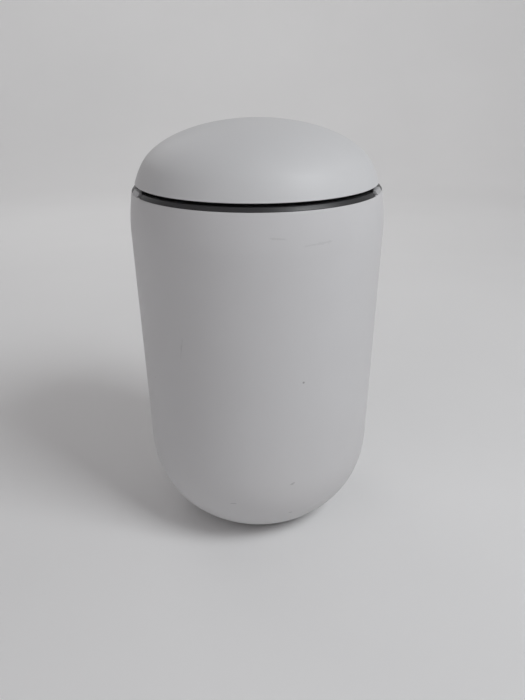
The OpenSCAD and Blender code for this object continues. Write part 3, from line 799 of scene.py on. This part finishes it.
def base_disc():
    """The base plate with two stiffening grooves."""
    low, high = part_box("base_plate")
    ribs = grooves(in_mm((30, 48)), low.z, 1.4 * MM, 0.6 * MM, 0.6 * MM)
    corners = [(HAIR, low.z)] + ribs + [(high.x, low.z), (high.x, high.z), (HAIR, high.z)]
    return lathe("base_disc", rounded(corners, in_mm([0] * 9 + [0.6, 0.4, 0])), 160)


def base_screw_set():
    """Six screws up through the base plate."""
    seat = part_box("base_plate")[0].z
    return screws_on("base_screw_set", 83 * MM, [30 + 60 * i for i in range(6)], seat,
                     (3.5 * MM, 1.9 * MM, 1.7 * MM, 6 * MM))


stand_in(feet(), "housing", "rubber_feet")
stand_in(base_disc(), "housing", "base_plate")
stand_in(base_screw_set(), "housing", "base_screws")


# ---- bucket ----
def bucket_shell():
    """The bucket: raised floor, drafted wall, hanging flange, and a lug with a pivot each side."""
    low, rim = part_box("bucket")[0].z, BUCKET_RIM
    outside = [
        (HAIR, low + MM), (96 * MM, low + MM), (98 * MM, low), (125 * MM, low),
        (129 * MM, low + 4 * MM), (137 * MM, rim), (141 * MM, rim), (141 * MM, rim + 2 * MM)]
    inside = [
        (134.5 * MM, rim + 2 * MM), (126.5 * MM, low + 5 * MM), (124 * MM, low + 3 * MM),
        (98 * MM, low + 3 * MM), (96 * MM, low + 3.8 * MM), (HAIR, low + 3.8 * MM)]
    soft = in_mm((0, 0.5, 0.5, 0.8, 1.6, 0.6, 0.5, 0.7, 1.0, 1.8, 0.8, 0.5, 0.5, 0))
    parts = [lathe("bucket_shell", rounded(outside + inside, soft), 200)]
    pivot_z = rim + 4.5 * MM
    for side in (-1, 1):
        x = sorted((side * 136.6 * MM, side * 137.9 * MM))
        parts.append(block("lug", (x[0], -3 * MM, rim + 1.7 * MM),
                           (x[1], 3 * MM, rim + 6.9 * MM), 0.4 * MM))
        parts.append(rod("pivot", 1.2 * MM, (side * 137.6 * MM, 0, pivot_z),
                         (side * 140.9 * MM, 0, pivot_z), 24, 0.25 * MM))
    return together("bucket_shell", parts)


def bail():
    """The wire handle, lying on the flange round the front, with an eye at each pivot."""
    at, z, wire = 139.4 * MM, LIP_TOP + 4.6 * MM, 1.2 * MM
    reach = math.radians(84.8)
    bow = [(at * math.sin(a), -at * math.cos(a), z)
           for a in (reach * (i / 60 - 1) for i in range(121))]
    line = [(-at, -2.4 * MM, z), (-at, -7 * MM, z)] + bow + [(at, -7 * MM, z), (at, -2.4 * MM, z)]
    eye_r, eye_bore = 2.4 * MM, 1.4 * MM
    eye = rounded([(eye_r, -wire), (eye_r, wire), (eye_bore, wire), (eye_bore, -wire)],
                  [0.35 * MM] * 4)
    parts = [pipe("bail_wire", line, wire, 20)]
    parts += [placed(lathe("eye", eye, 40), (side * at, 0, z), 90, "Y") for side in (-1, 1)]
    return together("bucket_bail", parts)


def bag_ring():
    """The loose ring that clamps a bag on the bucket's flange."""
    low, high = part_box("bag_ring")
    bore = 133 * MM
    return lathe("bag_clamp_ring", rounded(
        [(high.x, low.z), (high.x, high.z), (bore, high.z), (bore, low.z)], [MM] * 4), 192)


stand_in(bucket_shell(), "housing", "bucket")
stand_in(bail(), "housing", "bucket_handle")
stand_in(bag_ring(), "housing", "bag_ring")


# ---- underside of the lid ----
def inner_cover():
    """The pan under the lid, with three pressed rings round the hole for the ram."""
    low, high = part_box("lid_inner_cover")
    bore = 23.2 * MM
    rings = grooves(in_mm((46, 92, 128)), low.z, 1.6 * MM, 0.6 * MM, 0.7 * MM)
    corners = [(bore, low.z)] + rings + [(high.x, low.z), (high.x, high.z), (bore, high.z)]
    soft = in_mm([0.4] + [0] * 12 + [0.8, 0.3, 0.2])
    return lathe("lid_inner_pan", rounded(corners, soft), 200)


def gasket():
    """A ring seal with two lips and a groove between them, open at the hinge arm."""
    low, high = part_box("lid_gasket")
    outer, inner, lip = 146.5 * MM, 143.2 * MM, 1.1 * MM
    seal = lathe("lid_seal", rounded(
        [(outer, low.z), (outer, high.z), (inner, high.z), (inner, low.z),
         (inner + lip, low.z), (inner + 1.5 * lip, low.z + 1.4 * MM), (outer - lip, low.z)],
        in_mm((0.35, 0.2, 0.2, 0.35, 0.3, 0.3, 0.3))), 200)
    gap = block("cut", (-14 * MM, 120 * MM, low.z - MM), (14 * MM, 160 * MM, high.z + MM), 0)
    return carve(seal, [gap])


def lid_screw_set():
    """Eight screws up through the inner cover, clear of the hinge arm."""
    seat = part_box("lid_inner_cover")[0].z
    return screws_on("lid_screw_set", 138 * MM, (20, 60, 100, 140, 220, 260, 300, 340), seat,
                     (3.6 * MM, 1.8 * MM, 1.7 * MM, 13 * MM))


stand_in(inner_cover(), "lid", "lid_inner_cover")
stand_in(gasket(), "lid", "lid_gasket")
stand_in(lid_screw_set(), "lid", "lid_screws")


# ---- ram ----
def telescope_tube(name, node, bore):
    """A tube with chamfered ends and a wear band near its lower end."""
    low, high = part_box(node)
    r, band = high.x, 0.25 * MM
    corners = [(r, low.z), (r, low.z + 2 * MM), (r - band, low.z + 2.3 * MM),
               (r - band, low.z + 4 * MM), (r, low.z + 4.3 * MM), (r, high.z),
               (bore, high.z), (bore, low.z)]
    return lathe(name, rounded(corners, in_mm((0.5, 0, 0, 0, 0, 0.4, 0.3, 0.5))), 96)


def outer_tube():
    """The fixed tube with the collar that hangs it from the lid's frame."""
    low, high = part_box("fixed_tube")
    tube_r, bore, collar = 22.6 * MM, 19 * MM, high.z - 4 * MM
    corners = [(tube_r, low.z), (tube_r, collar), (high.x, collar), (high.x, high.z),
               (bore, high.z), (bore, low.z)]
    return lathe("ram_outer_tube", rounded(corners, in_mm((0.6, 1.2, 0.5, 0.4, 0.3, 0.5))), 120)


def pressing_plate():
    """The plate that meets the waste: pressed rings below, rim, hub and eight ribs above."""
    low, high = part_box("press_plate")
    face, back = low.z, low.z + 4 * MM
    rim_r, rim_in, hub_r, rise = 116 * MM, 113 * MM, 14 * MM, back + 4 * MM
    rings = grooves(in_mm((38, 60, 82, 104)), face, 2.2 * MM, 0.8 * MM, 0.9 * MM)
    corners = [(HAIR, face)] + rings + [
        (high.x, face), (high.x, back), (rim_r, back), (rim_r, rise), (rim_in, rise),
        (rim_in, back), (hub_r, back), (hub_r, high.z), (HAIR, high.z)]
    soft = in_mm([0] + [0.3] * 16 + [1.0, 0.8, 0.5, 0.5, 0.5, 0.8, 1.5, 0.8, 0])
    plate = lathe("pressing_plate", rounded(corners, soft, 3), 160)
    ribs = [turned(block("rib", (-1.5 * MM, -114.5 * MM, back - 0.5 * MM),
                         (1.5 * MM, -12 * MM, rise), 0.4 * MM, 2), 22.5 + 45 * i)
            for i in range(8)]
    return together("pressing_plate", [plate] + ribs)


def wiper():
    """A rubber ring over the plate's edge, with a thin lip towards the bucket."""
    low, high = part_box("plate_wiper")
    inner_r, lip_r, back_r, step = 115.5 * MM, 120.5 * MM, 118 * MM, low.z + MM
    corners = [(inner_r, low.z), (lip_r, low.z), (high.x, low.z + 1.2 * MM),
               (high.x, high.z - 0.6 * MM), (back_r, high.z), (back_r, step), (inner_r, step)]
    return lathe("plate_wiper_lip", rounded(corners, in_mm((0.3, 0.5, 0.3, 0.3, 0.2, 0, 0.2))), 160)


stand_in(outer_tube(), "lid", "fixed_tube")
stand_in(telescope_tube("ram_stage_one", "stage_one_tube", 15 * MM), "stage_one", "stage_one_tube")
stand_in(telescope_tube("ram_stage_two", "stage_two_tube", 11 * MM), "stage_two", "stage_two_tube")
stand_in(telescope_tube("ram_inner_tube", "ram_tube", 7 * MM), "ram", "ram_tube")
stand_in(pressing_plate(), "ram", "press_plate")
stand_in(wiper(), "ram", "plate_wiper")


# ---- hinge ----
def brackets():
    """A foot on the ring and a barrel round the pin, on each side of the arm."""
    parts = []
    for side in (-1, 1):
        low, high = (side * 25 - 6) * MM, (side * 25 + 6) * MM
        foot = block("foot", (low, HINGE.y - 7 * MM, HINGE_SEAT),
                     (high, HINGE.y - 1.5 * MM, HINGE.z), 0)
        barrel = rod("barrel", BARREL_R, (low, HINGE.y, HINGE.z), (high, HINGE.y, HINGE.z), 48)
        parts.append(bevel(carve(foot, [barrel], join=True), 0.35 * MM, 2))
    return together("hinge_bracket_pair", parts)


def hinge_arm():
    """The lid's leaf, from its frame back to a barrel round the pin."""
    low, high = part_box("lid_hinge_arm")
    leaf = block("leaf", (low.x, low.y, high.z - 2.4 * MM), (high.x, HINGE.y - MM, high.z), 0)
    barrel = rod("barrel", BARREL_R, (low.x, HINGE.y, HINGE.z), (high.x, HINGE.y, HINGE.z), 48)
    return bevel(carve(leaf, [barrel], join=True), 0.35 * MM, 2)


def coil_springs():
    """Two springs wound on the pin, between the arm and each bracket."""
    turns, steps, coil_r = 4, 40, 3 * MM
    near, length = 11.6, 6.6
    parts = []
    for side in (-1, 1):
        line = []
        for k in range(turns * steps + 1):
            a = 2 * math.pi * k / steps
            x = side * (near + length * k / (turns * steps)) * MM
            line.append((x, HINGE.y + coil_r * math.cos(a), HINGE.z + coil_r * math.sin(a)))
        parts.append(pipe("coil", line, 0.7 * MM, 12))
    return together("hinge_coil_pair", parts)


stand_in(brackets(), "housing", "hinge_brackets")
stand_in(hinge_arm(), "lid", "lid_hinge_arm")
stand_in(coil_springs(), "housing", "hinge_spring")


# ---- rear services ----
def on_rear(obj, angle):
    """Puts a piece that was drawn at the front, at height 0, in its place at the rear."""
    return turned(placed(obj, (0, 0, SERVICE_Z)), angle)


def inlet():
    """A two-pin appliance inlet: a figure-eight well with its pins."""
    well_r, floor, clear = 4.4 * MM, -148 * MM, -165 * MM
    sides = (-4.2 * MM, 4.2 * MM)
    body = block("inlet", (-INLET_HALF, SERVICE_FACE, -SERVICE_HALF),
                 (INLET_HALF, -138 * MM, SERVICE_HALF), 1.2 * MM, 4)
    bores = [rod("bore", well_r, (x, floor, 0), (x, clear, 0), 40) for x in sides]
    waist = block("waist", (sides[0], clear, -well_r), (sides[1], floor, well_r), 0)
    carve(body, bores + [waist])
    pins = [rod("pin", 1.2 * MM, (x, -147.5 * MM, 0), (x, -156.5 * MM, 0), 24, 0.4 * MM)
            for x in sides]
    return on_rear(together("mains_inlet_socket", [body] + pins), INLET_ANGLE)


def bezel():
    """The switch's frame with the well that its rocker sits in."""
    body = block("power_switch_frame", (-SWITCH_HALF, SERVICE_FACE, -SERVICE_HALF),
                 (SWITCH_HALF, -144 * MM, SERVICE_HALF), MM, 4)
    well = block("well", (-8 * MM, -168 * MM, -8.2 * MM), (8 * MM, -149.5 * MM, 8.2 * MM), 0)
    return on_rear(carve(body, [well]), SWITCH_ANGLE)


def rocker():
    """The switch's key, tilted to one side, with a bar and a ring for its two positions."""
    half = 7.4 * MM
    corners = [(3.2, -3), (-2, -6.4), (-6.6, -6.4), (-5.9, -2.6), (-5.6, 0), (-5.9, 2.6),
               (-6.6, 6.4), (-2, 6.4), (3.2, 3)]
    count = len(corners)
    verts = [(x, y * MM, z * MM) for x in (-half, half) for y, z in corners]
    faces = [tuple(range(count)), tuple(range(2 * count - 1, count - 1, -1))]
    faces += [(i, i + count, (i + 1) % count + count, (i + 1) % count) for i in range(count)]
    key = bevel(piece("rocker", verts, faces), 0.5 * MM, 3, 25)
    bar = block("bar", (-0.5 * MM, -6.55 * MM, 2.9 * MM), (0.5 * MM, -6.0 * MM, 5.1 * MM),
                0.15 * MM, 2)
    dot_r, dot_in, dot_h = 1.3 * MM, 0.8 * MM, 0.4 * MM
    dot = lathe("dot", rounded([(dot_r, 0), (dot_r, dot_h), (dot_in, dot_h), (dot_in, 0)],
                               [0.1 * MM] * 4, 2), 32)
    placed(dot, (0, -6.1 * MM, -4 * MM), 90, "X")
    whole = together("power_rocker_key", [key, bar, dot])
    return turned(placed(whole, (0, -154 * MM, SERVICE_Z), 8, "X"), SWITCH_ANGLE)


stand_in(inlet(), "housing", "mains_inlet")
stand_in(bezel(), "housing", "switch_bezel")
stand_in(rocker(), "power_rocker", "power_rocker")


# ---- filter and fan ----
def pleated_filter():
    """A carbon filter: a frame round upright pleats."""
    low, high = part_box("filter_cassette")
    rim, depth, pleats = 4 * MM, 3 * MM, 19
    body = block("frame", low, high, 0.8 * MM)
    window = [block("window", (low.x + rim, y0, low.z + rim), (high.x - rim, y1, high.z - rim), 0)
              for y0, y1 in ((low.y - MM, low.y + depth), (high.y - depth, high.y + MM))]
    carve(body, window)
    left, right = low.x + rim, high.x - rim
    step = (right - left) / pleats
    line = []
    for i in range(pleats):
        line += [(left + i * step, high.y - depth), (left + (i + 0.5) * step, high.y - 0.6 * MM)]
    line.append((right, high.y - depth))
    verts = [(x, y, z) for z in (low.z + rim, high.z - rim) for x, y in line]
    count = len(line)
    faces = [(i, i + 1, count + i + 1, count + i) for i in range(count - 1)]
    sheet = piece("pleats", verts, faces)
    mod = sheet.modifiers.new("thick", "SOLIDIFY")
    mod.thickness = 0.5 * MM
    mod.offset = 1
    return together("carbon_filter", [body, settle(sheet)])


def fan_frame():
    """A square fan frame: bore, corner holes, crossed struts and the impeller's axle."""
    low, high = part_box("fan_housing")
    middle = (low + high) / 2
    body = block("frame", low, high, 1.2 * MM)
    corner = 16.4 * MM
    places = [(18.5 * MM, 72, 0, 0)]
    places += [(1.6 * MM, 24, x, z) for x in (-corner, corner) for z in (-corner, corner)]
    carve(body, [rod("hole", r, (x, low.y - MM, middle.z + z), (x, high.y + MM, middle.z + z), n)
                 for r, n, x, z in places])
    struts = [placed(block("bar", (-18.6 * MM, high.y - 1.2 * MM, -1.5 * MM),
                           (18.6 * MM, high.y, 1.5 * MM), 0.3 * MM, 2),
                     (0, 0, middle.z), a, "Y") for a in (45, 135)]
    axle = rod("axle", 2 * MM, (0, middle.y - 4 * MM, middle.z), (0, high.y - MM, middle.z),
               24, 0.2 * MM)
    return together("fan_frame", [body] + struts + [axle])


stand_in(pleated_filter(), "housing", "filter_cassette")
stand_in(fan_frame(), "housing", "fan_housing")


# ---- catches and pins ----
def keeper_plates():
    """A bent plate under the lid on each side, whose foot the lock slides over."""
    front, outer = LOCK_FRONT + MM, -154 * MM
    foot, cover = RIM_Z - 2.4 * MM, LID_Z - 0.5 * MM
    spans = [
        ((front, -LOCK_W / 2 - MM), (outer - 0.2 * MM, -150 * MM), (foot, RIM_Z - 0.4 * MM)),
        ((front, front + 1.6 * MM), (outer, -150 * MM), (foot, cover)),
        ((front, front + 8 * MM), (outer, -147.2 * MM), (RING_TOP + 0.4 * MM, cover)),
    ]
    soft = 0.3 * MM
    return together("lid_keeper_pair", at_lock(1, spans, soft) + at_lock(-1, spans, soft))


def pivot_pin():
    """The hinge's pin, with rounded ends."""
    low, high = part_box("hinge_pin")
    return rod("hinge_pivot_pin", (high.z - low.z) / 2, (low.x, HINGE.y, HINGE.z),
               (high.x, HINGE.y, HINGE.z), 40, 0.5 * MM)


stand_in(keeper_plates(), "lid", "lid_keepers")
stand_in(pivot_pin(), "housing", "hinge_pin")


# ---- power supply and drive columns ----
def drive_columns():
    """Six-sided bars with chamfered corners between the lid's frame and the drive plate."""
    low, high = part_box("drive_columns")
    return together("drive_hex_columns", [
        bevel(rod("bar", 5 * MM, (x * MM, y * MM, low.z), (x * MM, y * MM, high.z), 6),
              0.25 * MM, 2) for x, y in COLUMNS])


def supply_case():
    """A steel case with a row of cooling slots in each long side."""
    low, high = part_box("power_supply")
    case = block("power_supply_case", low, high, MM)
    cutters = []
    for i in range(9):
        x = low.x + (8 + 9.2 * i) * MM
        for y0, y1 in ((low.y - MM, low.y + 1.2 * MM), (high.y - 1.2 * MM, high.y + MM)):
            cutters.append(block("slot", (x, y0, low.z + 8 * MM),
                                 (x + 3 * MM, y1, high.z - 7 * MM), 0))
    return carve(case, cutters)


stand_in(supply_case(), "housing", "power_supply")
stand_in(drive_columns(), "lid", "drive_columns")


# ---- stage ----
def backdrop():
    """A flat pale floor whose far edge rises in one sweep all the way round."""
    flat, sweep, top = 2.6, 1.6, 3.6
    profile = [(MM, 0.0), (0.6, 0.0), (flat, 0.0)]
    profile += [(flat + sweep * math.sin(a), sweep - sweep * math.cos(a))
                for a in arc_steps(24)[1:]]
    profile.append((flat + sweep, top))
    spokes, rows = 96, len(profile)
    verts, faces = [], []
    for j in range(spokes):
        verts += swung(profile, 2 * math.pi * j / spokes)
        near, far = j * rows, (j + 1) % spokes * rows
        faces += [(near + i, far + i, far + i + 1, near + i + 1) for i in range(rows - 1)]
    obj = piece("backdrop", verts, faces)
    look = Look("pale_floor", specular=0.2)
    tone = look.mix(look.ramp(look.noise(1.2, 3), 0.3, 0.7), (0.83,) * 3, (0.86,) * 3)
    obj.data.materials.append(look.finish(tone, look.ramp(look.noise(8, 2), 0.3, 0.7, 0.75, 0.85)))


def area_light(name, at, target, size, power, color=(1, 1, 1)):
    """A soft light at a place, turned to its target; power in watts."""
    data = bpy.data.lights.new(name, "AREA")
    data.shape = "RECTANGLE"
    data.size, data.size_y = size
    data.energy = power
    data.color = color
    obj = bpy.data.objects.new(name, data)
    bpy.context.scene.collection.objects.link(obj)
    obj.location = at
    obj.rotation_euler = (Vector(target) - Vector(at)).to_track_quat("-Z", "Y").to_euler()


def studio():
    """Pale surroundings, a key from the front right, and weaker lights round the object."""
    world = bpy.data.worlds.new("studio")
    world.use_nodes = True
    sky = world.node_tree.nodes["Background"]
    sky.inputs["Color"].default_value = (1, 0.955, 0.965, 1)
    sky.inputs["Strength"].default_value = 0.20
    bpy.context.scene.world = world
    middle = (0, 0, 0.3)
    area_light("key", (1.5, -1.1, 2.2), middle, (1.0, 1.0), 35, (0.965, 0.985, 1))
    area_light("fill", (-1.4, -1.6, 1.8), middle, (1.6, 1.6), 3.5, (1, 0.94, 0.95))
    area_light("rear", (-1.2, 1.8, 1.8), middle, (1.4, 1.4), 5)
    area_light("wash", (0, 1.4, 2.8), (0, 4.2, 1.2), (2.4, 0.8), 28)


def camera():
    """A phone-like view, from a little above the lid."""
    sensor, focal_share = 36, 650 / 700    # focal length over the picture's long side
    data = bpy.data.cameras.new("camera")
    data.sensor_width = sensor
    data.lens = focal_share * sensor
    obj = bpy.data.objects.new("camera", data)
    bpy.context.scene.collection.objects.link(obj)
    pitch, roll, around = 24.03, 0.3, -1.35
    turn = Matrix.Rotation(math.radians(around), 4, "Z")
    obj.location = turn @ Vector((8 * MM, -854.4 * MM, RIM_Z + 149.2 * MM))
    obj.rotation_euler = (math.radians(90 - pitch), math.radians(roll), math.radians(around))
    bpy.context.scene.camera = obj


backdrop()
studio()
camera()
bpy.context.scene.view_settings.view_transform = "Standard"
